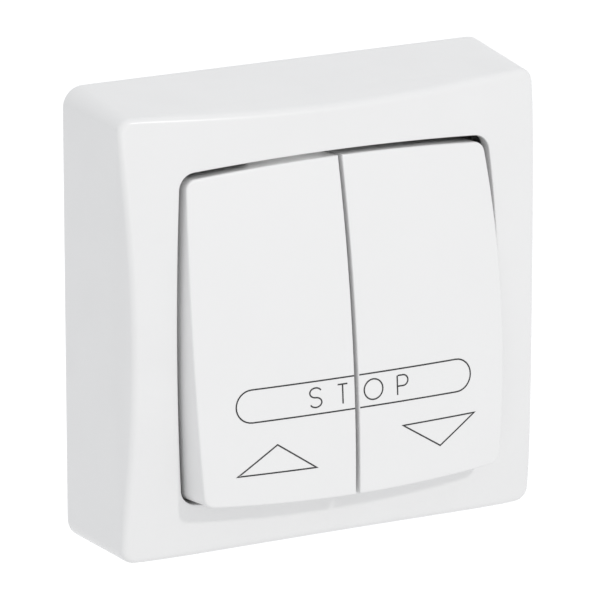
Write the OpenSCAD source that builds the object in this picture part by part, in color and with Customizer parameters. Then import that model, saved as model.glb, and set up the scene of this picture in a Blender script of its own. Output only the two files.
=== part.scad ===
// Surface-mounted roller shutter switch with an up rocker and a down rocker.
// Every module lies on its back: X runs to the right, Y up the wall and Z out of the wall.
// The last lines stand each piece up, so the wall is the plane Y = 0 and the front faces -Y.

/* [Cover] */
// Width of the cover at the wall
cover_w = 79; // [76:0.5:90]
// Height of the cover at the wall
cover_h = 79; // [76:0.5:90]
// Depth from the wall to the crown of the front
cover_depth = 25.5; // [24.5:0.1:28]
// How far each side leans in between the wall and the crown
side_lean = 1.5; // [1:0.1:3]
// Wall thickness of the cover
cover_wall = 2; // [1.6:0.1:2.4]
// Radius of the four upright edges at the wall
cover_corner_r = 4.6; // [3.5:0.1:8]
// Radius of the four upright edges at the front
cover_front_r = 2; // [1.5:0.1:3]
// Radius of the inward bow of the front's four edges
bow_r = 1500; // [1000:50:3000]
// Radius of the soft shoulder behind each of those edges
shoulder_r = 24; // [20:1:40]
// Depth from the wall at which the shoulders start
shoulder_depth = 16.5; // [15:0.5:18]
// Radius of the domed front
dome_r = 248; // [220:1:320]

/* [Opening] */
// Size of the opening across the middle of its sides
opening_size = 59.6; // [59:0.1:61]
// Radius of the bowed sides of the opening
opening_side_r = 303; // [250:1:500]
// Radius of the corners of the opening
opening_corner_r = 3; // [2.5:0.1:5]
// Width of the stiffening lip round the opening
lip_w = 1.3; // [1:0.1:2]
// How far the lip reaches in behind the crown
lip_depth = 6; // [5:0.1:8]

/* [Rockers] */
// Gap between the rockers and the opening
rocker_clear = 1.1; // [0.9:0.05:1.4]
// Gap between the two rockers
seam = 0.7; // [0.5:0.05:1]
// Height of the rockers' crown above their pivot
rocker_crown = 5.3; // [5:0.1:6]
// Radius of the rockers' domed face
rocker_face_r = 220; // [200:1:300]
// Thickness of the rockers' face
rocker_face_t = 1.6; // [1.2:0.1:1.7]
// Thickness of the rockers' side walls
rocker_skirt_t = 1.4; // [1:0.1:1.8]
// How far the side walls reach behind the pivot
rocker_skirt = 7; // [6:0.1:7.5]
// How far the rockers tip each way from level, in degrees
rocker_tilt = 7; // [5:0.5:7.5]

/* [Pivots] */
// Distance of the pivot from the wall
pivot_depth = 24; // [23.8:0.1:24.6]
// Distance of each carrier from the middle of the switch
carrier_x = 15; // [14.6:0.1:15.4]
// Width of each carrier
carrier_w = 14; // [13:0.1:14.4]
// Length of each carrier
carrier_h = 30; // [28:0.5:32]
// Radius of the carriers' trunnions
trunnion_r = 1.2; // [1:0.1:1.3]
// Running clearance round trunnions, plungers and pins
running_clear = 0.06; // [0.04:0.01:0.09]
// Thickness of the bearing ears
ear_t = 2; // [1.6:0.1:2.4]
// Thickness of the plastic round the bearing holes
ear_wall = 0.9; // [0.7:0.1:1.1]
// Distance of each nose from the lower end of its carrier
nose_inset = 7; // [6.5:0.1:7.5]
// Radius of the noses that press the plungers
nose_r = 1.5; // [1.2:0.1:1.8]

/* [Mechanism] */
// Height of the mechanism housing
mech_h = 44; // [43:0.5:47]
// Depth of the back of the housing from the wall
mech_back = 3.5; // [3:0.1:4]
// Depth of the front of the housing from the wall
mech_front = 15.5; // [15:0.1:15.8]
// Thickness of the mechanism plate
plate_t = 2; // [1.6:0.1:2]
// Thickness of the housing's floor
mech_floor = 1.2; // [1:0.1:1.4]
// Width of each contact chamber
chamber_w = 9; // [8.9:0.1:9.4]
// Radius of the spring pockets
pocket_r = 3.5; // [3.3:0.05:3.6]
// Radius of the plungers' stems
stem_r = 1.5; // [1.2:0.1:1.6]
// Radius of the plungers' heads
head_r = 3; // [2.6:0.1:3.1]

/* [Contacts] */
// Thickness of the brass strips
strip_t = 1; // [0.8:0.1:1.2]
// Width of the brass strips
strip_w = 5; // [4.4:0.1:5.4]
// Thickness of the contact blades
blade_t = 0.8; // [0.6:0.1:1]
// Distance of the blades' pivot above the middle
blade_pivot_y = 6; // [5.5:0.1:6.5]
// Distance of the contacts below the middle
contact_y = 17; // [16.5:0.1:17.5]
// Height of each contact rivet's head
rivet_h = 0.8; // [0.6:0.1:1]
// Radius of the contact rivets
rivet_r = 1.5; // [1.2:0.1:1.8]
// Radius of the pins that the blades turn on
pin_r = 0.85; // [0.7:0.05:1]

/* [Terminals] */
// Distance of the lower terminals from the middle
terminal_x = 5.2; // [5.1:0.1:5.4]
// Distance of the terminals above and below the middle
terminal_y = 16.5; // [16:0.1:17]
// Width of each terminal well
well_w = 8; // [7.6:0.1:8]
// Radius of the wire entries
wire_r = 1.6; // [1.2:0.1:2]
// Radius of the terminal screws
terminal_screw_r = 1.5; // [1.2:0.1:1.7]

/* [Wall box] */
// Distance of each wall screw from the side of the cover
fixing_edge = 9.5; // [9.4:0.1:9.6]
// Width of the slots for the wall screws
slot_w = 4.4; // [4:0.1:5]
// Length of the slots for the wall screws
slot_length = 9; // [7:0.1:9]
// Thickness of the box's floor
box_floor = 2; // [1.6:0.1:2.4]
// Gap between the box and the cover
box_clear = 0.25; // [0.15:0.05:0.4]
// Width of the cable entries
entry_w = 16; // [12:0.5:20]
// Thickness of the collar round each cable entry
entry_wall = 1.5; // [1.2:0.1:2]
// Distance of the mechanism screws to each side
screw_x = 19; // [18:0.1:20]
// Distance of the mechanism screws above and below the middle
screw_y = 26; // [25.5:0.1:27]

/* [Hidden] */
$fn = 48;
// Overrun of a cut past the face that it opens
over = 1;
// Gap between pieces that rest on each other but are free to part
seat = 0.05;

cover_lean = side_lean / cover_depth;
shoulder_kick = 1.5;
shoulder_end = 40;
shoulder_run = 6;
opening_half = opening_size / 2;
rocker_half = opening_half - rocker_clear;
rocker_side_r = opening_side_r - rocker_clear;
rocker_corner_r = opening_corner_r - rocker_clear;
inner_corner_r = 0.4;

// Carriers
side_gap = 0.2;
cheek_t = 1.6;
web_top = -2.2;
web_t = 1.2;
nose_y = carrier_h / 2 - nose_inset;
nose_drop = 3.5;
nose_w = 6;
hook_inset = 4;
hook_y = carrier_h / 2 - hook_inset;
hook_t = 1.2;
hook_w = 6;
hook_barb = 0.5;
hook_end = 0.9;
hook_play = 0.15;
rib_y = carrier_h / 5;
rib_t = 1.2;
rib_play = 0.2;
seam_cut_play = 1.5;
ear_r = trunnion_r + running_clear + ear_wall;
ear_foot = 5;
ear_rise = 0.6;
trunnion_short = 0.3;

// Mechanism, from the wall outwards
mech_w = 2 * (carrier_x + carrier_w / 2 + side_gap + ear_t);
mech_corner_r = 2;
mech_inside = mech_back + mech_floor;
plate_front = mech_front + plate_t;
chamber_low = -(terminal_y + well_w / 2);
chamber_high = blade_pivot_y + 4;
strip_top = mech_inside + strip_t;

// The blades swing between the fixed contacts and the plungers
plunger_travel = nose_y * rocker_tilt * 2 * PI / 180;
blade_arm = nose_y + blade_pivot_y;
blade_reach = contact_y + blade_pivot_y;
blade_tilt = rocker_tilt * nose_y / blade_arm;
blade_level = strip_top + 2 * rivet_h + seat + blade_t / 2 + (blade_reach + rivet_r) * sin(blade_tilt);
blade_w = 5;
blade_end = 0.6;
blade_play = 0.1;
eye_wall = 0.7;
eye_r = pin_r + running_clear + eye_wall;
terminal_ear_t = 0.9;
bar_reach = carrier_x + blade_w / 2 + terminal_ear_t + 2 * blade_play;
blade_top_at_plunger = blade_level + (blade_arm + stem_r) * sin(blade_tilt) + blade_t / 2;

// Plungers and their springs
plunger_gap = 0.1;
nose_low = pivot_depth - nose_drop * cos(rocker_tilt) + nose_y * sin(rocker_tilt) - nose_r;
plunger_top = nose_low - plunger_gap;
head_t = 1.2;
plunger_low = blade_top_at_plunger + 2 * seat;
guide_wall = 0.8;
guide_floor = 1;
stem_show = 0.6;
guide_low = plunger_low + stem_show;
return_coil_r = 2.5;
return_wire_r = 0.3;
contact_spring_y = 3;
contact_coil_r = 1.5;
contact_wire_r = 0.25;
contact_spring_arm = blade_pivot_y + contact_spring_y;
contact_spring_top = blade_level + contact_spring_arm * sin(blade_tilt) - blade_t / 2 - 2 * seat;

// Screws and washers
washer_w = 6.8;
washer_t = 1.2;
screw_head_r = 2.7;
screw_head_h = 1.8;
driver_slot = 0.8;
fixing_screw_r = 1.25;
tab_r = 3.5;
tab_t = 2;
post_r = 3;
tip_depth = 1;
tip_room = 0.4;
tip_reach = 0.6;
head_room = 0.4;
screw_play = 0.15;
tab_root = 2;
washer_play = 0.2;

// Latches between the plate and the housing
latch_y = 14;
latch_w = 6;
latch_t = 1;
latch_reach = 5;
latch_low = mech_front - latch_reach;
lug_w = 3.6;
lug_h = 1.6;
lug_rise = 1.7;
lug_root = 0.5;
latch_play = 0.1;

// Clips between the box and the cover
rim_h = mech_back - 0.1;
rim_t = 1.4;
ledge_low = 4;
ledge_high = 6.4;
ledge_reach = 1.6;
tongue_t = 1.6;
tongue_gap = 0.3;
barb_reach = 1.2;
barb_h = 2;
barb_step = 0.5;
barb_play = 0.1;
clip_gap = 0.5;
clip_x = (entry_w / 2 + entry_wall + screw_x - tab_r) / 2;
clip_w = screw_x - tab_r - entry_w / 2 - entry_wall - 2 * clip_gap;

// Wall screws, cable entries and the bars that carry the mechanism
fixing_centres = cover_w - 2 * fixing_edge;
slot_rim_w = 2;
slot_rim_h = 1;
entry_gap = 1.25;
rim_inside = cover_h / 2 - cover_wall - box_clear - rim_t - cover_lean * rim_h;
entry_h = rim_inside - mech_h / 2 - 2 * (entry_gap + entry_wall);
entry_y = (rim_inside + mech_h / 2) / 2;
entry_r = entry_h / 4;
bar_inset = 4;
bar_t = 2;

// Play round the brass strips and the plungers' guides in the housing
strip_play = 0.1;
guide_play = 0.2;
guide_cut = 0.01;

// Points of an arc about a centre
function arc(centre, r, from, to, steps) =
    [for (i = [0 : steps]) let (a = from + (to - from) * i / steps) centre + r * [cos(a), sin(a)]];

function turned(points, angle) =
    [for (p = points) [p[0] * cos(angle) - p[1] * sin(angle), p[0] * sin(angle) + p[1] * cos(angle)]];

// A rounded rectangle, w by h
function rounded_points(w, h, r) = concat(
    arc([w / 2 - r, h / 2 - r], r, 0, 90, 10),
    arc([r - w / 2, h / 2 - r], r, 90, 180, 10),
    arc([r - w / 2, r - h / 2], r, 180, 270, 10),
    arc([w / 2 - r, r - h / 2], r, 270, 360, 10));

// A square with sides bowed out to a large radius and corners that run into them smoothly
function bowed_points(half, side_r, corner_r) =
    let (back = side_r - half)
    let (k = (sqrt(2 * pow(side_r - corner_r, 2) - back * back) - back) / 2)
    let (sweep = atan2(k, k + back))
    let (side = arc([-back, 0], side_r, -sweep, sweep, 8))
    let (quarter = concat(side, arc([k, k], corner_r, sweep, 90 - sweep, 8)))
    [for (q = [0 : 3]) each turned(quarter, 90 * q)];

module rounded_rect(w, h, r) polygon(rounded_points(w, h, r));

// A rounded rectangle with a wall of thickness t added all round
module offset_rect(w, h, r, t) rounded_rect(w + 2 * t, h + 2 * t, r + t);

module bowed_square(half, side_r, corner_r) polygon(bowed_points(half, side_r, corner_r));

module box_between(low, high) translate(low) cube(high - low);

// A block whose sides lean in as the cover's do; w and h are its size at the wall
module leaning_block(w, h, r, z0, z1) {
    w0 = w - 2 * cover_lean * z0;
    h0 = h - 2 * cover_lean * z0;
    w1 = w - 2 * cover_lean * z1;
    h1 = h - 2 * cover_lean * z1;
    translate([0, 0, z0])
        linear_extrude(height = z1 - z0, scale = [w1 / w0, h1 / h0])
            rounded_rect(w0, h0, r);
}

// A solid between two outlines with as many points each
module loft(low, z0, high, z1) {
    n = len(low);
    corners = concat([for (p = low) [p[0], p[1], z0]], [for (p = high) [p[0], p[1], z1]]);
    back = [[for (i = [0 : n - 1]) i]];
    front = [[for (i = [n - 1 : -1 : 0]) n + i]];
    sides = [for (i = [0 : n - 1]) let (j = (i + 1) % n) each [[i, n + i, j], [j, n + i, n + j]]];
    polyhedron(points = corners, faces = concat(back, front, sides));
}

// The cover's outer form behind the dome: its upright edges grow crisper towards the front
module cover_block() {
    front_w = cover_w - 2 * cover_lean * (cover_depth + over);
    front_h = cover_h - 2 * cover_lean * (cover_depth + over);
    difference() {
        loft(rounded_points(cover_w, cover_h, cover_corner_r), 0,
            rounded_points(front_w, front_h, cover_front_r), cover_depth + over);
        for (q = [0 : 3])
            rotate([0, 0, 90 * q])
                shoulder_cut((q % 2 == 0 ? cover_h : cover_w) / 2);
    }
}

// What the shoulder takes off the side that faces +Y, at a distance of half from the middle
module shoulder_cut(half) {
    axis_y = half + bow_r;
    a0 = atan(cover_lean) + shoulder_kick;
    start = half - cover_lean * shoulder_depth;
    middle_y = start - shoulder_r * cos(a0);
    middle_z = shoulder_depth - shoulder_r * sin(a0);
    shoulder = [for (i = [0 : 12])
        let (a = a0 + (shoulder_end - a0) * i / 12)
        [axis_y - middle_y - shoulder_r * cos(a), middle_z + shoulder_r * sin(a)]];
    run_up = [axis_y - start - shoulder_run * tan(a0), shoulder_depth - shoulder_run];
    inside = bow_r - shoulder_run;
    translate([0, axis_y, 0])
        rotate_extrude($fn = 720)
            polygon(concat([[inside, run_up[1]], run_up], shoulder, [[inside, shoulder[12][1]]]));
}

// Everything under the domed front, set in by a distance
module under_dome(inset) translate([0, 0, cover_depth - dome_r]) sphere(r = dome_r - inset, $fn = 360);

module cover() color("white") {
    inner_w = cover_w - 2 * cover_wall;
    inner_h = cover_h - 2 * cover_wall;
    inner_r = cover_corner_r - cover_wall;
    difference() {
        intersection() {
            cover_block();
            under_dome(0);
        }
        difference() {
            intersection() {
                leaning_block(inner_w, inner_h, inner_r, -over, cover_depth);
                under_dome(cover_wall);
            }
            translate([0, 0, cover_depth - lip_depth])
                linear_extrude(height = lip_depth)
                    bowed_square(opening_half + lip_w, opening_side_r + lip_w, opening_corner_r + lip_w);
            cover_ledges();
        }
        translate([0, 0, cover_depth - lip_depth - over])
            linear_extrude(height = lip_depth + 2 * over)
                bowed_square(opening_half, opening_side_r, opening_corner_r);
    }
}

// Ledges inside the cover that the box's tongues snap over
module cover_ledges() {
    ledge_y = cover_h / 2 - cover_wall - cover_lean * ledge_low - ledge_reach;
    for (sx = [-1, 1], sy = [-1, 1])
        translate([sx * clip_x, sy * ledge_y, 0])
            mirror([0, sy < 0 ? 1 : 0, 0])
                box_between([-clip_w / 2, 0, ledge_low], [clip_w / 2, ledge_reach + over, ledge_high]);
}

module back_box() color("white") {
    w = cover_w - 2 * (cover_wall + box_clear);
    h = cover_h - 2 * (cover_wall + box_clear);
    r = cover_corner_r - cover_wall - box_clear;
    difference() {
        union() {
            difference() {
                leaning_block(w, h, r, 0, rim_h);
                leaning_block(w - 2 * rim_t, h - 2 * rim_t, r, box_floor, rim_h + over);
            }
            for (sx = [-1, 1], sy = [-1, 1]) {
                translate([sx * screw_x, sy * screw_y, 0])
                    cylinder(r = post_r, h = mech_back);
                box_tongue(sx, sy);
            }
            for (sx = [-1, 1])
                translate([sx * fixing_centres / 2, 0, 0])
                    linear_extrude(height = box_floor + slot_rim_h)
                        slot_shape(slot_length + 2 * slot_rim_w, slot_w + 2 * slot_rim_w);
            for (sy = [-1, 1])
                translate([0, sy * (mech_h / 2 - bar_inset), mech_back / 2])
                    cube([mech_w - 2 * bar_inset, bar_t, mech_back], center = true);
            for (sy = [-1, 1])
                translate([0, sy * entry_y, 0])
                    linear_extrude(height = rim_h)
                        offset_rect(entry_w, entry_h, entry_r, entry_wall);
        }
        for (sx = [-1, 1], sy = [-1, 1])
            translate([sx * screw_x, sy * screw_y, tip_depth - tip_room])
                cylinder(r = fixing_screw_r, h = mech_back);
        for (sx = [-1, 1])
            translate([sx * fixing_centres / 2, 0, -over])
                linear_extrude(height = box_floor + slot_rim_h + 2 * over)
                    slot_shape(slot_length, slot_w);
        for (sy = [-1, 1])
            translate([0, sy * entry_y, -over])
                linear_extrude(height = rim_h + 2 * over)
                    rounded_rect(entry_w, entry_h, entry_r);
    }
}

module slot_shape(length, w) {
    square([length - w, w], center = true);
    for (s = [-1, 1])
        translate([s * (length - w) / 2, 0])
            circle(d = w);
}

// A springy tongue with a barb that holds a ledge of the cover
module box_tongue(sx, sy) {
    ledge_y = cover_h / 2 - cover_wall - cover_lean * ledge_low - ledge_reach;
    face = ledge_y - tongue_gap;
    barb_low = ledge_high + barb_play;
    translate([sx * clip_x, 0, 0])
        mirror([0, sy < 0 ? 1 : 0, 0])
            translate([-clip_w / 2, 0, 0])
                rotate([90, 0, 90])
                    linear_extrude(height = clip_w)
                        polygon([
                            [face - tongue_t, 0],
                            [face, 0],
                            [face, barb_low],
                            [face + barb_reach, barb_low],
                            [face + barb_reach, barb_low + barb_step],
                            [face, barb_low + barb_h],
                            [face - tongue_t, barb_low + barb_h]]);
}

// Brings a piece that is drawn for the down side, at +X, to the up side
module on_side(side) mirror([side < 0 ? 1 : 0, 0, 0]) children();

module mechanism_housing() color("gainsboro")
    difference() {
        union() {
            translate([0, 0, mech_back])
                linear_extrude(height = mech_front - mech_back)
                    rounded_rect(mech_w, mech_h, mech_corner_r);
            for (sx = [-1, 1], sy = [-1, 1]) {
                translate([0, 0, mech_back])
                    linear_extrude(height = tab_t)
                        housing_tab(sx, sy);
                latch_lug(sx, sy);
            }
        }
        for (side = [-1, 1])
            on_side(side) {
                chamber();
                well(terminal_x, -1);
                translate([terminal_x, -terminal_y, 0])
                    box_between([0, -strip_w / 2 - strip_play, mech_inside],
                        [carrier_x - terminal_x, strip_w / 2 + strip_play, mech_front + over]);
                translate([carrier_x, -nose_y, mech_front - guide_cut])
                    cylinder(r = pocket_r + guide_wall + guide_play, h = over);
            }
        well(0, 1);
        box_between([-carrier_x, blade_pivot_y - strip_w / 2 - strip_play, mech_inside],
            [carrier_x, blade_pivot_y + strip_w / 2 + strip_play, mech_front + over]);
        box_between([-strip_w / 2 - strip_play, blade_pivot_y, mech_inside],
            [strip_w / 2 + strip_play, terminal_y, mech_front + over]);
        for (sx = [-1, 1], sy = [-1, 1])
            translate([sx * screw_x, sy * screw_y, mech_back - over])
                cylinder(r = fixing_screw_r + screw_play, h = tab_t + 2 * over);
    }

module chamber()
    box_between([carrier_x - chamber_w / 2, chamber_low, mech_inside],
        [carrier_x + chamber_w / 2, chamber_high, mech_front + over]);

// A terminal well, with the hole below it for the screw's tip and the wire entry beside it
module well(x, sy) {
    translate([x, sy * terminal_y, 0]) {
        box_between([-well_w / 2, -well_w / 2, mech_inside], [well_w / 2, well_w / 2, mech_front + over]);
        translate([0, 0, mech_back + tip_room])
            cylinder(r = terminal_screw_r + washer_play, h = mech_floor + over);
        translate([0, 0, strip_top + wire_r + washer_play])
            rotate([sy > 0 ? -90 : 90, 0, 0])
                cylinder(r = wire_r, h = mech_h / 2 - terminal_y + over);
    }
}

module housing_tab(sx, sy) {
    translate([sx * screw_x, sy * screw_y])
        circle(r = tab_r);
    translate([sx * screw_x, sy * (screw_y + mech_h / 2 - tab_root) / 2])
        square([2 * tab_r, screw_y - mech_h / 2 + tab_root], center = true);
}

module latch_lug(sx, sy)
    translate([sx * mech_w / 2, sy * latch_y - lug_w / 2, latch_low + lug_rise])
        mirror([sx < 0 ? 1 : 0, 0, 0])
            rotate([-90, 0, 0])
                linear_extrude(height = lug_w)
                    polygon([[-lug_root, 0], [latch_t - latch_play, 0], [latch_t - latch_play, -lug_root],
                        [0, -lug_h], [-lug_root, -lug_h]]);

module mechanism_plate() color("whitesmoke")
    difference() {
        union() {
            translate([0, 0, mech_front])
                linear_extrude(height = plate_t)
                    rounded_rect(mech_w, mech_h, mech_corner_r);
            for (side = [-1, 1])
                on_side(side) {
                    translate([carrier_x, -nose_y, guide_low])
                        cylinder(r = pocket_r + guide_wall, h = mech_front - guide_low + plate_t / 2);
                    bearing_ear(carrier_x - carrier_w / 2 - side_gap - ear_t);
                    bearing_ear(carrier_x + carrier_w / 2 + side_gap);
                }
            for (sx = [-1, 1], sy = [-1, 1])
                plate_latch(sx, sy);
        }
        for (side = [-1, 1])
            on_side(side) {
                translate([carrier_x, -nose_y, guide_low + guide_floor])
                    cylinder(r = pocket_r, h = mech_front);
                translate([carrier_x, -nose_y, guide_low - over])
                    cylinder(r = stem_r + running_clear, h = guide_floor + 2 * over);
                translate([terminal_x, -terminal_y, mech_front - over])
                    cylinder(r = screw_head_r + head_room, h = plate_t + 2 * over);
            }
        translate([0, terminal_y, mech_front - over])
            cylinder(r = screw_head_r + head_room, h = plate_t + 2 * over);
    }

// An upright ear with the bearing hole for one trunnion; x is its inner face
module bearing_ear(x)
    translate([x, 0, 0])
        rotate([90, 0, 90])
            linear_extrude(height = ear_t)
                difference() {
                    union() {
                        translate([0, pivot_depth])
                            circle(r = ear_r);
                        polygon([[-ear_foot, mech_front + plate_t / 2], [ear_foot, mech_front + plate_t / 2],
                            [ear_foot, plate_front + ear_rise], [ear_r, pivot_depth], [-ear_r, pivot_depth],
                            [-ear_foot, plate_front + ear_rise]]);
                    }
                    translate([0, pivot_depth])
                        circle(r = trunnion_r + running_clear);
                }

// A side arm with a window that catches a lug of the housing
module plate_latch(sx, sy)
    difference() {
        translate([sx * (mech_w / 2 + latch_t / 2), sy * latch_y, 0])
            translate([-latch_t / 2, -latch_w / 2, latch_low])
                cube([latch_t, latch_w, plate_front - latch_low]);
        translate([sx * (mech_w / 2 + latch_t / 2), sy * latch_y, latch_low + lug_rise - latch_play])
            translate([-latch_t, -lug_w / 2 - latch_play, 0])
                cube([2 * latch_t, lug_w + 2 * latch_play, lug_h + 3 * latch_play]);
    }

// The rockers and carriers are drawn level, with the pivot on the X axis, and tipped at rest
module at_pivot() translate([0, 0, pivot_depth]) rotate([-rocker_tilt, 0, 0]) children();

module rocker_block(inset, top_inset, z0)
    intersection() {
        translate([0, 0, z0])
            linear_extrude(height = rocker_crown + over - z0)
                intersection() {
                    bowed_square(rocker_half - inset, rocker_side_r - inset,
                        max(rocker_corner_r - inset, inner_corner_r));
                    translate([seam / 2 + inset, -opening_size])
                        square([opening_size, 2 * opening_size]);
                }
        translate([0, 0, rocker_crown - rocker_face_r])
            sphere(r = rocker_face_r - top_inset, $fn = 360);
    }

module rocker(side) color("white")
    at_pivot() on_side(side)
        difference() {
            rocker_block(0, 0, -rocker_skirt);
            difference() {
                rocker_block(rocker_skirt_t, rocker_face_t, -rocker_skirt - over);
                rocker_ribs();
            }
            // The wall at the seam is lower where it passes over the mechanism
            box_between([0, -mech_h / 2 - seam_cut_play, -rocker_skirt - over],
                [seam / 2 + 2 * rocker_skirt_t, mech_h / 2 + seam_cut_play, web_top - web_t / 2]);
        }

// Ribs that rest on the carrier and hooks that snap through its windows
module rocker_ribs() {
    rib_w = carrier_w - 2 * (cheek_t + rib_play);
    for (s = [-1, 1]) {
        box_between([carrier_x - rib_w / 2, s * rib_y - rib_t / 2, web_top + seat],
            [carrier_x + rib_w / 2, s * rib_y + rib_t / 2, rocker_crown]);
        translate([carrier_x - hook_w / 2, 0, 0])
            mirror([0, s < 0 ? 1 : 0, 0])
                rotate([90, 0, 90])
                    linear_extrude(height = hook_w)
                        polygon([
                            [hook_y, rocker_crown],
                            [hook_y, web_top - web_t - hook_end],
                            [hook_y + hook_t, web_top - web_t - hook_end],
                            [hook_y + hook_t + hook_barb, web_top - web_t - seat],
                            [hook_y + hook_t, web_top - web_t - seat],
                            [hook_y + hook_t, rocker_crown]]);
    }
}

module carrier(side) color("lightgray")
    at_pivot() on_side(side) translate([carrier_x, 0, 0])
        difference() {
            union() {
                for (s = [-1, 1])
                    mirror([s < 0 ? 1 : 0, 0, 0])
                        carrier_cheek();
                box_between([-carrier_w / 2 + cheek_t / 2, -carrier_h / 2, web_top - web_t],
                    [carrier_w / 2 - cheek_t / 2, carrier_h / 2, web_top]);
                translate([-nose_w / 2, -nose_y, -nose_drop])
                    rotate([0, 90, 0])
                        cylinder(r = nose_r, h = nose_w);
            }
            for (s = [-1, 1])
                mirror([0, s < 0 ? 1 : 0, 0])
                    box_between([-hook_w / 2 - hook_play, hook_y - hook_play, web_top - web_t - over],
                        [hook_w / 2 + hook_play, hook_y + hook_t + hook_play, web_top + over]);
        }

// A side plate of a carrier, with the trunnion that turns in a bearing ear
module carrier_cheek() {
    translate([carrier_w / 2 - cheek_t, 0, 0])
        rotate([90, 0, 90])
            linear_extrude(height = cheek_t) {
                circle(r = ear_r);
                polygon([
                    [-carrier_h / 2, web_top - web_t],
                    [carrier_h / 2, web_top - web_t],
                    [carrier_h / 2, web_top],
                    [ear_r, 0],
                    [-ear_r, 0],
                    [-carrier_h / 2, web_top]]);
            }
    translate([carrier_w / 2 - cheek_t / 2, 0, 0])
        rotate([0, 90, 0])
            cylinder(r = trunnion_r, h = cheek_t / 2 + side_gap + ear_t - trunnion_short);
}

module plunger(side) color("ivory")
    on_side(side) translate([carrier_x, -nose_y, 0]) {
        translate([0, 0, plunger_top - head_t])
            cylinder(r = head_r, h = head_t);
        translate([0, 0, plunger_low])
            cylinder(r = stem_r, h = plunger_top - head_t / 2 - plunger_low);
    }

// A round wire wound into a coil that stands on z = 0
module coil_spring(coil_r, wire_r, height, turns) {
    sides = 6;
    steps = turns * 12;
    rise = height - 2 * wire_r;
    points = [for (i = [0 : steps], j = [0 : sides - 1])
        let (a = 360 * turns * i / steps, b = 360 * j / sides)
        [(coil_r + wire_r * cos(b)) * cos(a), (coil_r + wire_r * cos(b)) * sin(a),
            wire_r + rise * i / steps + wire_r * sin(b)]];
    walls = [for (i = [0 : steps - 1], j = [0 : sides - 1])
        let (k = (j + 1) % sides)
        [i * sides + j, (i + 1) * sides + j, (i + 1) * sides + k, i * sides + k]];
    ends = [[for (j = [0 : sides - 1]) j], [for (j = [sides - 1 : -1 : 0]) steps * sides + j]];
    polyhedron(points = points, faces = concat(walls, ends));
}

module return_spring(side) color("silver")
    on_side(side) translate([carrier_x, -nose_y, guide_low + guide_floor])
        coil_spring(return_coil_r, return_wire_r, plunger_top - head_t - guide_low - guide_floor, 5);

module contact_spring(side) color("silver")
    on_side(side) translate([carrier_x, -contact_spring_y, mech_inside])
        coil_spring(contact_coil_r, contact_wire_r, contact_spring_top - mech_inside, 5);

// The blade and its contact are drawn level, with their pivot on the X axis
module at_blade_pivot()
    translate([carrier_x, blade_pivot_y, blade_level])
        rotate([-blade_tilt, 0, 0])
            children();

module contact_blade(side) color("darkgoldenrod")
    on_side(side) at_blade_pivot()
        difference() {
            union() {
                box_between([-blade_w / 2, -blade_reach - rivet_r - blade_end, -blade_t / 2],
                    [blade_w / 2, 0, blade_t / 2]);
                translate([-blade_w / 2, 0, 0])
                    rotate([0, 90, 0])
                        cylinder(r = eye_r, h = blade_w);
            }
            translate([-blade_w / 2 - over, 0, 0])
                rotate([0, 90, 0])
                    cylinder(r = pin_r + running_clear, h = blade_w + 2 * over);
            translate([0, -blade_reach, -blade_t])
                cylinder(r = rivet_r / 2, h = 2 * blade_t);
        }

module moving_contact(side) color("silver")
    on_side(side) at_blade_pivot() translate([0, -blade_reach, 0]) {
        translate([0, 0, -blade_t / 2 - rivet_h])
            cylinder(r = rivet_r, h = rivet_h);
        translate([0, 0, -blade_t / 2 - rivet_h / 2])
            cylinder(r = rivet_r / 2, h = blade_t + rivet_h);
    }

module common_terminal() color("goldenrod") {
    ear_offset = blade_w / 2 + blade_play + terminal_ear_t / 2;
    difference() {
        union() {
            box_between([-bar_reach, blade_pivot_y - strip_w / 2, mech_inside],
                [bar_reach, blade_pivot_y + strip_w / 2, strip_top]);
            box_between([-strip_w / 2, blade_pivot_y, mech_inside],
                [strip_w / 2, terminal_y + strip_w / 2, strip_top]);
            for (side = [-1, 1], s = [-1, 1])
                translate([side * carrier_x + s * ear_offset, blade_pivot_y, 0])
                    terminal_ear();
        }
        for (side = [-1, 1])
            translate([side * carrier_x - blade_w, blade_pivot_y, blade_level])
                rotate([0, 90, 0])
                    cylinder(r = pin_r, h = 2 * blade_w);
        translate([0, terminal_y, mech_inside - over])
            cylinder(r = terminal_screw_r, h = strip_t + 2 * over);
    }
}

// One of the two ears that carry a blade's pin
module terminal_ear()
    translate([-terminal_ear_t / 2, 0, 0])
        rotate([90, 0, 90])
            linear_extrude(height = terminal_ear_t) {
                translate([0, blade_level])
                    circle(r = eye_r);
                translate([-eye_r, strip_top - strip_t / 2])
                    square([2 * eye_r, blade_level - strip_top + strip_t / 2]);
            }

module contact_pins() color("silver")
    for (side = [-1, 1])
        translate([side * carrier_x - blade_w / 2 - blade_play - terminal_ear_t, blade_pivot_y, blade_level])
            rotate([0, 90, 0])
                cylinder(r = pin_r, h = blade_w + 2 * (blade_play + terminal_ear_t));

module switched_terminal(side) color("goldenrod")
    on_side(side)
        difference() {
            box_between([terminal_x - strip_w / 2, -terminal_y - strip_w / 2, mech_inside],
                [carrier_x + strip_w / 2, -terminal_y + strip_w / 2, strip_top]);
            translate([terminal_x, -terminal_y, mech_inside - over])
                cylinder(r = terminal_screw_r, h = strip_t + 2 * over);
            translate([carrier_x, -contact_y, mech_inside - over])
                cylinder(r = rivet_r / 2, h = strip_t + 2 * over);
        }

module fixed_contacts() color("silver")
    for (side = [-1, 1])
        translate([side * carrier_x, -contact_y, 0]) {
            translate([0, 0, strip_top])
                cylinder(r = rivet_r, h = rivet_h);
            translate([0, 0, mech_inside])
                cylinder(r = rivet_r / 2, h = strip_t + rivet_h / 2);
        }

// The places of the three terminals
module at_terminals() {
    translate([0, terminal_y, strip_top])
        children();
    for (s = [-1, 1])
        translate([s * terminal_x, -terminal_y, strip_top])
            children();
}

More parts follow.
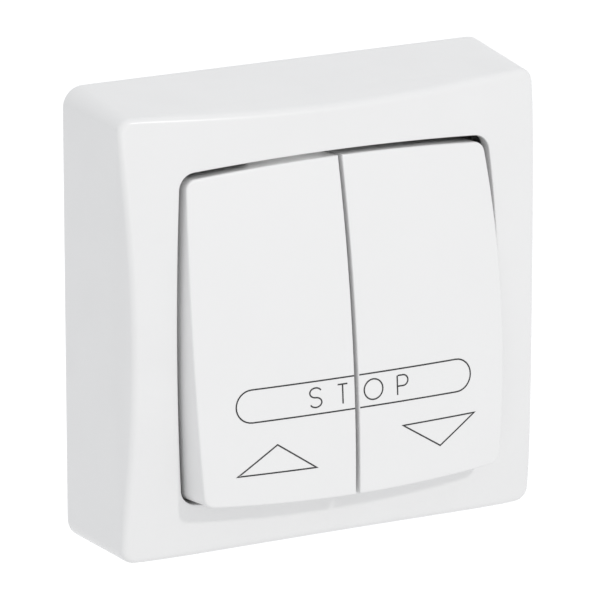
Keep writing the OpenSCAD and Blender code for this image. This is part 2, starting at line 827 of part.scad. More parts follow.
module terminal_washers() color("silver")
    at_terminals()
        difference() {
            translate([-washer_w / 2, -washer_w / 2, 0])
                cube([washer_w, washer_w, washer_t]);
            translate([0, 0, -over])
                cylinder(r = terminal_screw_r + washer_play, h = washer_t + 2 * over);
        }

module terminal_screws() color("lightsteelblue")
    at_terminals()
        slotted_screw(terminal_screw_r, washer_t, strip_t + tip_reach);

module mechanism_screws() color("lightsteelblue")
    for (sx = [-1, 1], sy = [-1, 1])
        translate([sx * screw_x, sy * screw_y, mech_back + tab_t])
            slotted_screw(fixing_screw_r, 0, mech_back + tab_t - tip_depth);

// A cheese-head screw whose head stands at height z and whose tip lies at depth tip
module slotted_screw(r, z, tip) {
    translate([0, 0, -tip])
        cylinder(r = r, h = tip + z + screw_head_h / 2);
    difference() {
        translate([0, 0, z])
            cylinder(r = screw_head_r, h = screw_head_h);
        translate([-screw_head_r - over, -driver_slot / 2, z + screw_head_h / 2])
            cube([2 * screw_head_r + 2 * over, driver_slot, screw_head_h]);
    }
}

// Stands a piece up against the wall
module on_wall() rotate([90, 0, 0]) children();

on_wall() cover();
on_wall() back_box();
on_wall() mechanism_housing();
on_wall() mechanism_plate();
on_wall() rocker(-1);  // up_rocker
on_wall() rocker(1);  // down_rocker
on_wall() carrier(-1);  // up_carrier
on_wall() carrier(1);  // down_carrier
on_wall() plunger(-1);  // up_plunger
on_wall() plunger(1);  // down_plunger
on_wall() return_spring(-1);  // up_return_spring
on_wall() return_spring(1);  // down_return_spring
on_wall() contact_blade(-1);  // up_contact_blade
on_wall() contact_blade(1);  // down_contact_blade
on_wall() moving_contact(-1);  // up_moving_contact
on_wall() moving_contact(1);  // down_moving_contact
on_wall() contact_spring(-1);  // up_contact_spring
on_wall() contact_spring(1);  // down_contact_spring
on_wall() common_terminal();
on_wall() switched_terminal(-1);  // up_terminal
on_wall() switched_terminal(1);  // down_terminal
on_wall() fixed_contacts();
on_wall() contact_pins();
on_wall() terminal_washers();
on_wall() terminal_screws();
on_wall() mechanism_screws();
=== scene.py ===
import math
import bmesh
import bpy
from mathutils import Matrix, Vector


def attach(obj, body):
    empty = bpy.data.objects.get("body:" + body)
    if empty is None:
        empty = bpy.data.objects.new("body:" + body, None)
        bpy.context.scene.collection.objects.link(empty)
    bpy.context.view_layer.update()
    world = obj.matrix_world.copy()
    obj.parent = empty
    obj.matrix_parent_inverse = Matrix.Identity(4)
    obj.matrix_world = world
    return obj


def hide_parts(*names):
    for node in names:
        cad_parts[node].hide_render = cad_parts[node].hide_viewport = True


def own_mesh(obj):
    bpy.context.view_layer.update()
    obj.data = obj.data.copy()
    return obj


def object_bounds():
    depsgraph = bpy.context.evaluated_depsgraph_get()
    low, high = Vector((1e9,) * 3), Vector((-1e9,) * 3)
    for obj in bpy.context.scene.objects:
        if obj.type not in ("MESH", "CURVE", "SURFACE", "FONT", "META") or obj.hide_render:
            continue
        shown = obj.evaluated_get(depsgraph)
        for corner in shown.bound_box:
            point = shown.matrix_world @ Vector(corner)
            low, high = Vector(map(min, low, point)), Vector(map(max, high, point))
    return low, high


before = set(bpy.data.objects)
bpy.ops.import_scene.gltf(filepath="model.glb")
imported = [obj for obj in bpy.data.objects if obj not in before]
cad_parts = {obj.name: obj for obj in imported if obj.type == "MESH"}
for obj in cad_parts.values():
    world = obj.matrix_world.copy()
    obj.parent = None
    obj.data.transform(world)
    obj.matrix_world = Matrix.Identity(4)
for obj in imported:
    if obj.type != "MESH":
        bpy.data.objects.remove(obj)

cad_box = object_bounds()

# Camera. It stands to the left of the switch and above it, a good metre away,
# which is where the photograph was taken from. Its long lens was fitted to it.
MM = 0.001
TURN, TIP, EYE = 26.339, 16.951, Vector((-435.93, -889.41, 299.23)) * MM
LENS_TO_WIDTH, SENSOR = 6089.5 / 600, 36
turn, tip = math.radians(TURN), math.radians(TIP)
right = Vector((math.cos(turn), -math.sin(turn), 0))
above = Vector((math.sin(turn) * math.sin(tip), math.cos(turn) * math.sin(tip), math.cos(tip)))
camera_data = bpy.data.cameras.new("camera")
camera_data.sensor_width = SENSOR
camera_data.lens = LENS_TO_WIDTH * SENSOR
camera_data.clip_start = 0.05
camera_data.clip_end = 20
camera = bpy.data.objects.new("camera", camera_data)
facing = Matrix((right, above, right.cross(above))).transposed().to_4x4()
camera.matrix_world = Matrix.Translation(EYE) @ facing
bpy.context.scene.collection.objects.link(camera)
bpy.context.scene.camera = camera

# Cover. The real one is a single shell of white weather-resistant ASA, moulded
# face down in a fine-ground tool, so its front is smooth with a soft gloss.
# It snaps over the wall box. Every edge of the tool is eased by its polisher.
WALL_TO_CROWN, LEAN, SHELL = 25.5, 1.5 / 25.5, 2.0
COVER_SIZE, COVER_CORNER, FRONT_CORNER, FRONT_PLANE, DOME = 79.0, 3.6, 2.0, 26.5, 248.0
BOW, SHOULDER_R, SHOULDER_DEPTH, SHOULDER_KICK = 1500.0, 24.0, 16.5, 1.5
SHOULDER_START = math.atan(LEAN) + math.radians(SHOULDER_KICK)
OPENING_HALF, OPENING_SIDE_R, OPENING_CORNER = 29.8, 303.0, 3.0
LIP, LIP_DEPTH = 1.3, 6.0
FRONT_EDGE, OPENING_EDGE, WALL_EDGE, BLOCK_EDGE = 0.9, 0.25, 0.25, 0.08
SIDE_STEPS, CORNER_STEPS, EDGE_RING = 26, 10, 0.1
WALL_RINGS = (0.04, 0.3, 0.55, 0.68, 0.74, 0.79, 0.83, 0.87, 0.91, 0.95)
FRONT_RINGS = (0.14, 0.25, 0.38, 0.52, 0.66, 0.8, 0.92)
BROW_GUESS, BROW_ROUNDS, INNER_ROUNDS = WALL_TO_CROWN - 4, 8, 5


def arc(cx, cy, r, start, end, steps):
    angles = [math.radians(start + (end - start) * i / steps) for i in range(steps + 1)]
    return [(cx + r * math.cos(a), cy + r * math.sin(a)) for a in angles]


def four_turns(quarter):
    points = []
    for c, s in ((1, 0), (0, 1), (-1, 0), (0, -1)):
        points += [(x * c - y * s, x * s + y * c) for x, y in quarter]
    return points


def rounded_square(half, r):
    """One quarter is a straight side and a corner, so it pairs with a bowed square."""
    k = half - r
    side = [(half, -k + 2 * k * i / SIDE_STEPS) for i in range(SIDE_STEPS)]
    return four_turns(side + arc(k, k, r, 0, 90, CORNER_STEPS)[:-1])


def bowed_square(half, side_r, r):
    """The opening's outline: sides bowed outwards, corners that run into them smoothly."""
    away = side_r - half
    k = (math.sqrt(2 * (side_r - r) ** 2 - away ** 2) - away) / 2
    sweep = math.degrees(math.atan2(k, k + away))
    side = arc(-away, 0, side_r, -sweep, sweep, SIDE_STEPS)[:-1]
    return four_turns(side + arc(k, k, r, sweep, 90 - sweep, CORNER_STEPS)[:-1])


def dome(x, y, crown, r):
    return crown - r + math.sqrt(r * r - x * x - y * y)


def on_dome(points, crown, r):
    return [(p[0], p[1], dome(p[0], p[1], crown, r)) for p in points]


def verts_of(geom):
    return [g for g in geom if isinstance(g, bmesh.types.BMVert)]


def twin_of(v, fresh):
    """The copy that an extrusion has made of a vertex."""
    return next(e.other_vert(v) for e in v.link_edges if e.other_vert(v) in fresh)


def ring_edges(bm, ring):
    return [bm.edges.get((ring[i - 1], ring[i])) for i in range(len(ring))]


def first_ring(bm, places):
    ring = [bm.verts.new(p) for p in places]
    for i in range(len(ring)):
        bm.edges.new((ring[i - 1], ring[i]))
    return ring


def next_ring(bm, ring, places):
    """Extrudes a closed ring of vertices and moves the copies to their places."""
    fresh = set(verts_of(bmesh.ops.extrude_edge_only(bm, edges=ring_edges(bm, ring))["geom"]))
    moved = []
    for v, place in zip(ring, places):
        twin = twin_of(v, fresh)
        twin.co = place
        moved.append(twin)
    return moved


def between(near, far, t):
    return [tuple(a + (b - a) * t for a, b in zip(p, q)) for p, q in zip(near, far)]


def ease(bm, edges, width, steps):
    bmesh.ops.bevel(bm, geom=edges, offset=width, offset_type="OFFSET", segments=steps,
                    profile=0.5, affect="EDGES", material=-1, clamp_overlap=True)


def add_block(bm, low, high):
    """A block from corner to corner. Its edges are eased by a share of its least size."""
    block = bmesh.ops.create_cube(bm, size=1)["verts"]
    size = [b - a for a, b in zip(low, high)]
    middle = [(a + b) / 2 for a, b in zip(low, high)]
    bmesh.ops.scale(bm, vec=size, verts=block)
    bmesh.ops.translate(bm, vec=middle, verts=block)
    ease(bm, list({e for v in block for e in v.link_edges}), min(size) * BLOCK_EDGE, 2)


# The bench frame lies on its back in millimetres; this stands it up in metres.
STAND_UP = Matrix.Scale(MM, 4) @ Matrix.Rotation(math.radians(90), 4, "X")


def make_piece(name, bm, material, place=STAND_UP, smooth_to=40):
    bmesh.ops.recalc_face_normals(bm, faces=bm.faces)
    bmesh.ops.transform(bm, matrix=place, verts=bm.verts)
    mesh = bpy.data.meshes.new(name)
    bm.to_mesh(mesh)
    bm.free()
    for face in mesh.polygons:
        face.use_smooth = True
    mesh.set_sharp_from_angle(angle=math.radians(smooth_to))
    mesh.materials.append(material)
    piece = bpy.data.objects.new(name, mesh)
    bpy.context.scene.collection.objects.link(piece)
    return piece


NOISE_LOW, NOISE_HIGH, SHEEN_DRIFT = 0.3, 0.7, 0.03


def linear(colour):
    """An sRGB hex colour as linear red, green, blue and alpha."""
    parts = [int(colour[i:i + 2], 16) / 255 for i in (1, 3, 5)]
    return [c / 12.92 if c <= 0.04045 else ((c + 0.055) / 1.055) ** 2.4 for c in parts] + [1]


def add_node(tree, kind, settings, links=()):
    """Adds a node, gives its settings and sockets their values, and links its inputs."""
    node = tree.nodes.new(kind)
    for key, value in settings.items():
        if isinstance(key, str) and hasattr(node, key):
            setattr(node, key, value)
        else:
            node.inputs[key].default_value = value
    for socket, source in links:
        tree.links.new(source, node.inputs[socket])
    return node


def cleared(owner):
    """Gives a material or a world an empty node tree."""
    owner.use_nodes = True
    owner.node_tree.nodes.clear()
    return owner.node_tree


def noise(tree, size_mm, detail, roughness, places):
    """A noise whose pattern has a size in millimetres."""
    return add_node(tree, "ShaderNodeTexNoise",
                    {"Scale": 1000 / size_mm, "Detail": detail, "Roughness": roughness},
                    [("Vector", places)]).outputs["Fac"]


def add_skin(tree, colours, patches, roughness, relief, strength, depth_mm, kind):
    """The shader: its tone and gloss follow the patches, its bump follows the relief."""
    tone = add_node(tree, "ShaderNodeMix",
                    {"data_type": "RGBA", 6: linear(colours[0]), 7: linear(colours[1])},
                    [(0, patches)])
    gloss = add_node(tree, "ShaderNodeMapRange",
                     {"From Min": NOISE_LOW, "From Max": NOISE_HIGH,
                      "To Min": roughness[0], "To Max": roughness[1]}, [("Value", patches)])
    bump = add_node(tree, "ShaderNodeBump", {"Strength": strength, "Distance": depth_mm * MM},
                    [("Height", relief)])
    skin = add_node(tree, "ShaderNodeBsdfPrincipled", kind,
                    [("Base Color", tone.outputs[2]), ("Roughness", gloss.outputs["Result"]),
                     ("Normal", bump.outputs["Normal"])])
    add_node(tree, "ShaderNodeOutputMaterial", {}, [("Surface", skin.outputs["BSDF"])])


def moulded(name, colour, fleck, roughness, ior, grain_mm, grain_depth, sheen_mm=9.0):
    """A moulded plastic. The tool's grain is a bump, its flow a faint change of tone."""
    material = bpy.data.materials.new(name)
    tree = cleared(material)
    places = add_node(tree, "ShaderNodeTexCoord", {}).outputs["Object"]
    grain = noise(tree, grain_mm, 3.0, 0.55, places)
    flow = noise(tree, sheen_mm, 2.0, 0.5, places)
    add_skin(tree, (colour, fleck), flow, (roughness - SHEEN_DRIFT, roughness + SHEEN_DRIFT),
             grain, 0.25, grain_depth, {"IOR": ior})
    return material


# White ASA keeps a soft even gloss: the tool's grain shows only as a quiet
# softening of its highlights. Its tone drifts by less than one step.
cover_asa = moulded("asa_white_moulded_cover", "#F1F1F1", "#EEEEEE", 0.31, 1.51, 0.22, 0.004)


def leaning_outline(z):
    """The outside of the leaning walls at a depth. Its corners grow crisper to the front."""
    r = COVER_CORNER + (FRONT_CORNER - COVER_CORNER) * z / FRONT_PLANE
    return rounded_square(COVER_SIZE / 2 - LEAN * z, r)


def shoulder_reach(along, z):
    """How far from the middle a side reaches where its soft shoulder has been taken off."""
    start = COVER_SIZE / 2 - LEAN * SHOULDER_DEPTH
    rise = (z - SHOULDER_DEPTH) / SHOULDER_R + math.sin(SHOULDER_START)
    if z < SHOULDER_DEPTH:
        reach = start + (SHOULDER_DEPTH - z) * math.tan(SHOULDER_START)
    else:
        reach = start - SHOULDER_R * (math.cos(SHOULDER_START) - math.sqrt(1 - rise * rise))
    axis = COVER_SIZE / 2 + BOW
    return axis - math.sqrt((axis - reach) ** 2 - along * along)


def wall_point(i, z):
    x, y = leaning_outline(z)[i]
    most_x, most_y = shoulder_reach(y, z), shoulder_reach(x, z)
    return max(-most_x, min(most_x, x)), max(-most_y, min(most_y, y)), z


def brow_height(i):
    """The depth at which the wall meets the dome."""
    z = BROW_GUESS
    for _ in range(BROW_ROUNDS):
        x, y, _ = wall_point(i, z)
        z = dome(x, y, WALL_TO_CROWN, DOME)
    return z


def inner_point(i, z):
    return rounded_square(inner - LEAN * z, COVER_CORNER - SHELL)[i]


def inner_outline(z, crown=None):
    """The inside of the walls at a depth, or where they meet the inside of the dome."""
    points = []
    for i in range(len(opening)):
        level = z
        for _ in range(INNER_ROUNDS if crown else 0):
            level = dome(*inner_point(i, level), crown, DOME - SHELL)
        points.append((*inner_point(i, level), level))
    return points


bm = bmesh.new()
inner = COVER_SIZE / 2 - SHELL
opening = bowed_square(OPENING_HALF, OPENING_SIDE_R, OPENING_CORNER)
lip = bowed_square(OPENING_HALF + LIP, OPENING_SIDE_R + LIP, OPENING_CORNER + LIP)
brows = [brow_height(i) for i in range(len(opening))]
brow = [wall_point(i, z) for i, z in enumerate(brows)]
edge = on_dome(opening, WALL_TO_CROWN, DOME)
under = WALL_TO_CROWN - LIP_DEPTH

foot_ring = ring = first_ring(bm, [wall_point(i, 0) for i in range(len(opening))])
for t in WALL_RINGS:
    ring = next_ring(bm, ring, [wall_point(i, z * t) for i, z in enumerate(brows)])
brow_ring = ring = next_ring(bm, ring, brow)
for t in FRONT_RINGS:
    ring = next_ring(bm, ring, on_dome(between(brow, edge, t), WALL_TO_CROWN, DOME))
edge_ring = ring = next_ring(bm, ring, edge)
ring = next_ring(bm, ring, between(edge, [(x, y, under) for x, y in opening], EDGE_RING))
ring = next_ring(bm, ring, [(x, y, under) for x, y in opening])
ring = next_ring(bm, ring, [(x, y, under) for x, y in lip])
ring = next_ring(bm, ring, on_dome(lip, WALL_TO_CROWN - SHELL, DOME - SHELL))
ring = next_ring(bm, ring, inner_outline(BROW_GUESS, WALL_TO_CROWN - SHELL))
last_ring = next_ring(bm, ring, inner_outline(0))
bmesh.ops.bridge_loops(bm, edges=ring_edges(bm, last_ring) + ring_edges(bm, foot_ring))
front_edges, opening_edges = ring_edges(bm, brow_ring), ring_edges(bm, edge_ring)
wall_edges = ring_edges(bm, foot_ring)
ease(bm, front_edges, FRONT_EDGE, 6)
ease(bm, opening_edges, OPENING_EDGE, 3)
ease(bm, wall_edges, WALL_EDGE, 2)

# Ledges inside the walls, which the box's tongues snap over
LEDGE_LOW, LEDGE_HIGH, LEDGE_REACH, LEDGE_ROOT, CLIP_X, CLIP_HALF = 4.0, 6.4, 1.6, 0.5, 12.5, 2.5
ledge_y = inner - LEAN * LEDGE_LOW - LEDGE_REACH
for sx in (-1, 1):
    for sy in (-1, 1):
        near, far = sorted((sy * ledge_y, sy * (ledge_y + LEDGE_REACH + LEDGE_ROOT)))
        add_block(bm, (sx * CLIP_X - CLIP_HALF, near, LEDGE_LOW),
                  (sx * CLIP_X + CLIP_HALF, far, LEDGE_HIGH))
cover = make_piece("cover_shell", bm, cover_asa)
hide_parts("cover")
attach(cover, "switch_body")

# Rockers. Two keys of the same white ASA, each a domed face with walls behind
# it, ribs that rest on its carrier and two hooks that snap through it. Their
# tool is polished like the cover's. At rest both lean out at the bottom.
PIVOT, TILT = 24.0, 7.0
CLEAR, SEAM, CROWN, FACE_R = 1.1, 0.7, 5.29, 220.0
FACE_T, WALL_T, SKIRT, LOW_WALL = 1.6, 1.4, 7.0, -2.8
LOW_REACH, STEP, SEAM_STEPS, LEAST_CORNER, NEAR = 23.5, 0.5, 16, 0.4, 0.01
DRAFT, DRAFT_POWER, CUT_NEAR = 0.7, 8, 0.00001
ROCKER_EDGE, ROCKER_SUPPORT, SKIRT_EDGE, CELL, CELL_START = 0.3, 0.5, 0.2, 3.0, 1.0
CARRIER_X, RIB_HALF, RIB_Y, RIB_T, RIB_LOW = 15.0, 5.2, 6.0, 1.2, -2.15
HOOK_Y, HOOK_T, HOOK_HALF, HOOK_BARB, HOOK_LOW, HOOK_CATCH = 11.0, 1.2, 3.0, 0.5, -4.3, -3.45

# The keys' ASA is a touch smoother and more even than the cover's, so that their
# broad faces look clean and the ink stands clear on them.
rocker_asa = moulded("asa_white_moulded_rocker", "#F1F1F1", "#EFEFEF", 0.31, 1.51, 0.22, 0.0035)
AT_PIVOT = (STAND_UP @ Matrix.Translation((0, 0, PIVOT))
            @ Matrix.Rotation(math.radians(-TILT), 4, "X"))


def face_height(x, y):
    return dome(x, y, CROWN, FACE_R)


def rocker_outline(inset):
    """The right half of the bowed square, round to the seam and down along it."""
    half, side_r = OPENING_HALF - CLEAR - inset, OPENING_SIDE_R - CLEAR - inset
    whole = bowed_square(half, side_r, max(OPENING_CORNER - CLEAR - inset, LEAST_CORNER))
    left, bottom = SEAM / 2 + inset, min(y for x, y in whole)
    first = 1 - CORNER_STEPS - SIDE_STEPS // 2
    last = len(whole) // 4 + SIDE_STEPS // 2
    even = [LOW_REACH * (1 - 2 * i / SEAM_STEPS) for i in range(SEAM_STEPS + 1)]
    seam = [-bottom, LOW_REACH + STEP] + even + [-LOW_REACH - STEP, bottom]
    return [whole[i] for i in range(first, last)] + [(left, y) for y in seam]


def wall_foot(points, low):
    """The walls' back edge: drafted outwards at the side, raised over the mechanism."""
    left, side = min(x for x, _ in points), max(x for x, _ in points)
    foot = []
    for x, y in points:
        raised = x < left + NEAR and abs(y) < LOW_REACH + NEAR
        foot.append((x + DRAFT * (x / side) ** DRAFT_POWER, y, LOW_WALL if raised else low))
    return foot


def domed_patch(bm, ring, reach):
    """Fills a ring, cuts the fill into small squares and lays them on the dome."""
    face = bm.faces.new(ring)
    patch = [face, *face.edges, *face.verts]
    for axis, start in (((1, 0, 0), CELL_START), ((0, 1, 0), -reach)):
        for i in range(int((reach - start) / CELL) + 1):
            place = [(start + i * CELL) * a for a in axis]
            patch = bmesh.ops.bisect_plane(bm, geom=patch, dist=CUT_NEAR,
                                           plane_co=place, plane_no=axis)["geom"]
    for v in verts_of(patch):
        v.co.z = face_height(v.co.x, v.co.y)


def rocker_mesh(side):
    bm = bmesh.new()
    outside, inside = rocker_outline(0), rocker_outline(WALL_T)
    rim = on_dome(outside, CROWN, FACE_R)
    foot = wall_foot(outside, -SKIRT)
    rim_ring = first_ring(bm, rim)
    ring = next_ring(bm, rim_ring, on_dome(rocker_outline(ROCKER_SUPPORT), CROWN, FACE_R))
    domed_patch(bm, ring, OPENING_HALF)
    ring = next_ring(bm, rim_ring, between(rim, foot, EDGE_RING))
    foot_ring = next_ring(bm, ring, foot)
    ring = next_ring(bm, foot_ring, wall_foot(inside, -SKIRT))
    ring = next_ring(bm, ring, on_dome(inside, CROWN - FACE_T, FACE_R - FACE_T))
    bmesh.ops.holes_fill(bm, edges=ring_edges(bm, ring), sides=0)
    rim_edges, foot_edges = ring_edges(bm, rim_ring), ring_edges(bm, foot_ring)
    ease(bm, rim_edges, ROCKER_EDGE, 5)
    ease(bm, foot_edges, SKIRT_EDGE, 2)
    for s in (-1, 1):
        add_block(bm, (CARRIER_X - RIB_HALF, s * RIB_Y - RIB_T / 2, RIB_LOW),
                  (CARRIER_X + RIB_HALF, s * RIB_Y + RIB_T / 2, CROWN - FACE_T))
        add_hook(bm, s)
    if side < 0:
        bmesh.ops.scale(bm, vec=(-1, 1, 1), verts=bm.verts)
    return bm


def add_hook(bm, s):
    """A springy hook with a barb, drawn as its side view and extruded to its width."""
    profile = [(HOOK_Y, CROWN - FACE_T), (HOOK_Y, HOOK_LOW), (HOOK_Y + HOOK_T, HOOK_LOW),
               (HOOK_Y + HOOK_T + HOOK_BARB, HOOK_CATCH), (HOOK_Y + HOOK_T, HOOK_CATCH),
               (HOOK_Y + HOOK_T, CROWN - FACE_T)]
    corners = [bm.verts.new((CARRIER_X - HOOK_HALF, s * y, z)) for y, z in profile]
    face = bm.faces.new(corners)
    made = bmesh.ops.extrude_face_region(bm, geom=[face])["geom"]
    bmesh.ops.translate(bm, vec=(2 * HOOK_HALF, 0, 0), verts=verts_of(made))


for name, side in (("up_rocker", -1), ("down_rocker", 1)):
    rocker = make_piece(name + "_key", rocker_mesh(side), rocker_asa, AT_PIVOT)
    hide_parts(name)
    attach(rocker, name)

# Marks on the rockers. Pad-printed ink lines a quarter of a millimetre wide:
# a pointed arrow on each key, and a rounded band with STOP across the seam.
# Each line lies on the domed face and is a few hundredths of a millimetre thick.
LINE, INK_T, INK_SINK, LEAST_MITRE = 0.25, 0.02, 0.05, 0.35
BAND_TOP, BAND_LOW, BAND_LEFT, BAND_RIGHT = -8.2, -13.8, -21.8, 21.8
LETTER_TOP, LETTER_LOW = -9.32, -12.65
S_X, S_WIDE, T_X, T_HALF = -7.62, 1.28, -2.67, 0.9
O_X, O_OVER, P_X, P_R, P_RUN = 3.05, 0.08, 7.57, 0.92, 1.1
S_TURN, END_TURN, O_TURN, BOWL_TURN = 18, 16, 40, 12
SEAM_INSET = SEAM / 2 + ROCKER_EDGE / 2
UP_ARROW = [(-14.7, -18.1), (-21.75, -22.75), (-7.7, -22.95)]
DOWN_ARROW = [(8.5, -18.05), (22.4, -17.9), (15.65, -22.6)]

# Ink that has dried dull and nearly black, so that each line reads as thin and
# dark where the key around it shines.
ink = moulded("pad_printing_ink_dark_grey", "#202022", "#28282A", 0.55, 1.48, 0.12, 0.002)


def add_line(bm, path, closed=False):
    """A printed line: its middle is widened to both sides, laid on the face and thickened."""
    count = len(path)
    sides = []
    for i, (x, y) in enumerate(path):
        before = path[i - 1] if i or closed else path[i]
        after = path[(i + 1) % count] if i < count - 1 or closed else path[i]
        a = Vector((x - before[0], y - before[1]))
        b = Vector((after[0] - x, after[1] - y))
        a, b = (a if a.length else b).normalized(), (b if b.length else a).normalized()
        along = (a + b).normalized()
        reach = LINE / 2 / max(LEAST_MITRE, along.dot(b))
        sides.append((Vector((-along.y, along.x)) * reach, Vector((x, y))))
    left = [bm.verts.new((p.x + n.x, p.y + n.y, face_height(p.x, p.y) + INK_T)) for n, p in sides]
    pairs = range(count if closed else count - 1)
    edges = [bm.edges.new((left[i], left[(i + 1) % count])) for i in pairs]
    made = bmesh.ops.extrude_edge_only(bm, edges=edges)["geom"]
    fresh = set(verts_of(made))
    for v, (n, p) in zip(left, sides):
        twin_of(v, fresh).co = (p.x - n.x, p.y - n.y, face_height(p.x, p.y) + INK_T)
    faces = [f for f in made if isinstance(f, bmesh.types.BMFace)]
    sunk = bmesh.ops.extrude_face_region(bm, geom=faces)["geom"]
    bmesh.ops.translate(bm, vec=(0, 0, -INK_T - INK_SINK), verts=verts_of(sunk))


def fine(path, closed=False, step=0.6):
    """Adds points to long straight stretches, so that a line follows the dome."""
    points = []
    ends = path + path[:1] if closed else path
    for p, q in zip(ends, ends[1:]):
        parts = max(1, round(math.dist(p, q) / step))
        points += [tuple(a + (b - a) * i / parts for a, b in zip(p, q)) for i in range(parts)]
    return points if closed else points + [path[-1]]


band_r, band_y = (BAND_TOP - BAND_LOW) / 2, (BAND_TOP + BAND_LOW) / 2
letter_y, letter_h = (LETTER_TOP + LETTER_LOW) / 2, LETTER_TOP - LETTER_LOW
s_r = letter_h / 4
narrow_s = (arc(S_X, letter_y + s_r, s_r, 25, 270, S_TURN)
            + arc(S_X, letter_y - s_r, s_r, 90, -155, S_TURN)[1:])
bowl_x, bowl_low = P_X + P_RUN, LETTER_TOP - 2 * P_R
up_marks = [
    (fine(UP_ARROW, True), True),
    (fine([(-SEAM_INSET, BAND_TOP), (BAND_LEFT + band_r, BAND_TOP)])
     + arc(BAND_LEFT + band_r, band_y, band_r, 90, 270, END_TURN)[1:-1]
     + fine([(BAND_LEFT + band_r, BAND_LOW), (-SEAM_INSET, BAND_LOW)]), False),
    ([(S_X + (x - S_X) * S_WIDE, y) for x, y in narrow_s], False),
    (fine([(T_X - T_HALF, LETTER_TOP), (T_X + T_HALF, LETTER_TOP)]), False),
    (fine([(T_X, LETTER_TOP - LINE / 2), (T_X, LETTER_LOW)]), False)]
down_marks = [
    (fine(DOWN_ARROW, True), True),
    (fine([(SEAM_INSET, BAND_LOW), (BAND_RIGHT - band_r, BAND_LOW)])
     + arc(BAND_RIGHT - band_r, band_y, band_r, -90, 90, END_TURN)[1:-1]
     + fine([(BAND_RIGHT - band_r, BAND_TOP), (SEAM_INSET, BAND_TOP)]), False),
    (arc(O_X, letter_y, letter_h / 2 + O_OVER, 0, 360, O_TURN)[:-1], True),
    (fine([(P_X, LETTER_TOP), (P_X, LETTER_LOW)]), False),
    (fine([(P_X + LINE / 2, LETTER_TOP), (bowl_x, LETTER_TOP)])
     + arc(bowl_x, LETTER_TOP - P_R, P_R, 90, -90, BOWL_TURN)[1:-1]
     + fine([(bowl_x, bowl_low), (P_X + LINE / 2, bowl_low)]), False)]
for name, marks in (("up_rocker", up_marks), ("down_rocker", down_marks)):
    bm = bmesh.new()
    for path, closed in marks:
        add_line(bm, path, closed)
    print_piece = make_piece(name + "_print", bm, ink, AT_PIVOT)
    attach(print_piece, name)

# Wall box. The plate behind it all is white ABS, off the same kind of tool but
# left with a matt spark-eroded grain, because nobody sees it once it is up.
def dress(material, *nodes):
    for node in nodes:
        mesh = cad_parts[node].data
        mesh.materials.clear()
        mesh.materials.append(material)


dress(moulded("abs_white_matt_box", "#E9E9E6", "#E4E4E0", 0.55, 1.54, 0.35, 0.012), "back_box")

# Mechanism housing and plate. Glass-filled PBT that stands the heat of the
# contacts: grey below and paler above, both with the dull grain of the filler.
# Two arms of the plate snap over the lugs on each side of the housing.
dress(moulded("pbt_grey_glass_filled", "#A9ACAD", "#9EA1A3", 0.6, 1.57, 0.3, 0.012, 4.0),
      "mechanism_housing")
dress(moulded("pbt_pale_glass_filled", "#DBDAD3", "#D3D2CA", 0.58, 1.57, 0.3, 0.01, 4.0),
      "mechanism_plate")

# Carriers and plungers. Acetal, which slides on itself without grease: grey for
# the pivoted carriers, ivory for the plungers that they push. Waxy, soft gloss.
dress(moulded("acetal_grey", "#B9BCBE", "#B2B5B8", 0.42, 1.48, 0.5, 0.004, 5.0),
      "up_carrier", "down_carrier")
dress(moulded("acetal_ivory", "#EFE9D8", "#EAE3D0", 0.4, 1.48, 0.5, 0.003, 5.0),
      "up_plunger", "down_plunger")


# Springs. Four open coils of drawn steel wire: one under each plunger's head
# lifts the plunger and its carrier, and one under each blade lifts its contact.
# They stand loose in pockets of the housing. The real coils shorten as a rocker goes in; these
# keep one length.
COIL_TURNS, COIL_STEPS, WIRE_SIDES, BURR, PATCH = 5, 24, 10, 0.2, 2.5
RETURN_COIL = {"coil_r": 2.5, "wire_r": 0.3, "low": 12.68, "high": 18.66}
CONTACT_COIL = {"coil_r": 1.5, "wire_r": 0.25, "low": 4.74, "high": 9.55}
RETURN_Y, RETURN_FLOOR, RETURN_KEEP = -8.0, 12.64, 0.675
CONTACT_Y, CONTACT_FLOOR, CONTACT_KEEP = -3.0, 4.7, 0.74
SPRINGS = (
    ("return_spring", "plunger_slide", RETURN_COIL, RETURN_Y, RETURN_FLOOR, RETURN_KEEP),
    ("contact_spring", "blade_hinge", CONTACT_COIL, CONTACT_Y, CONTACT_FLOOR, CONTACT_KEEP))


def metal(name, colour, tarnish, roughness, line_mm, line_depth, along=(1, 12, 1)):
    """A worked metal: fine lines along the way it was drawn, and a patchy tarnish."""
    material = bpy.data.materials.new(name)
    tree = cleared(material)
    places = add_node(tree, "ShaderNodeTexCoord", {}).outputs["Object"]
    stretched = add_node(tree, "ShaderNodeMapping", {"Scale": along}, [("Vector", places)])
    lines = noise(tree, line_mm, 3.0, 0.5, stretched.outputs["Vector"])
    add_skin(tree, (colour, tarnish), noise(tree, PATCH, 4.0, 0.5, places),
             (roughness - 0.06, roughness + 0.08), lines, 0.3, line_depth, {"Metallic": 1.0})
    return material


def coil_mesh(coil_r, wire_r, low, high):
    """Round wire wound into an open coil, with the burrs taken off its cut ends."""
    bm = bmesh.new()
    steps = COIL_TURNS * COIL_STEPS
    wire = bmesh.ops.create_circle(bm, segments=WIRE_SIDES, radius=wire_r)["verts"]
    bmesh.ops.rotate(bm, verts=wire, matrix=Matrix.Rotation(math.radians(90), 3, "X"))
    bmesh.ops.translate(bm, verts=wire, vec=(coil_r, 0, low + wire_r))
    section = wire + list({e for v in wire for e in v.link_edges})
    bmesh.ops.spin(bm, geom=section, cent=(0, 0, 0), axis=(0, 0, 1), steps=steps,
                   angle=math.radians(360 * COIL_TURNS),
                   dvec=(0, 0, (high - low - 2 * wire_r) / steps))
    ends = [e for e in bm.edges if e.is_boundary]
    bmesh.ops.holes_fill(bm, edges=ends, sides=0)
    ease(bm, ends, wire_r * BURR, 2)
    return bm


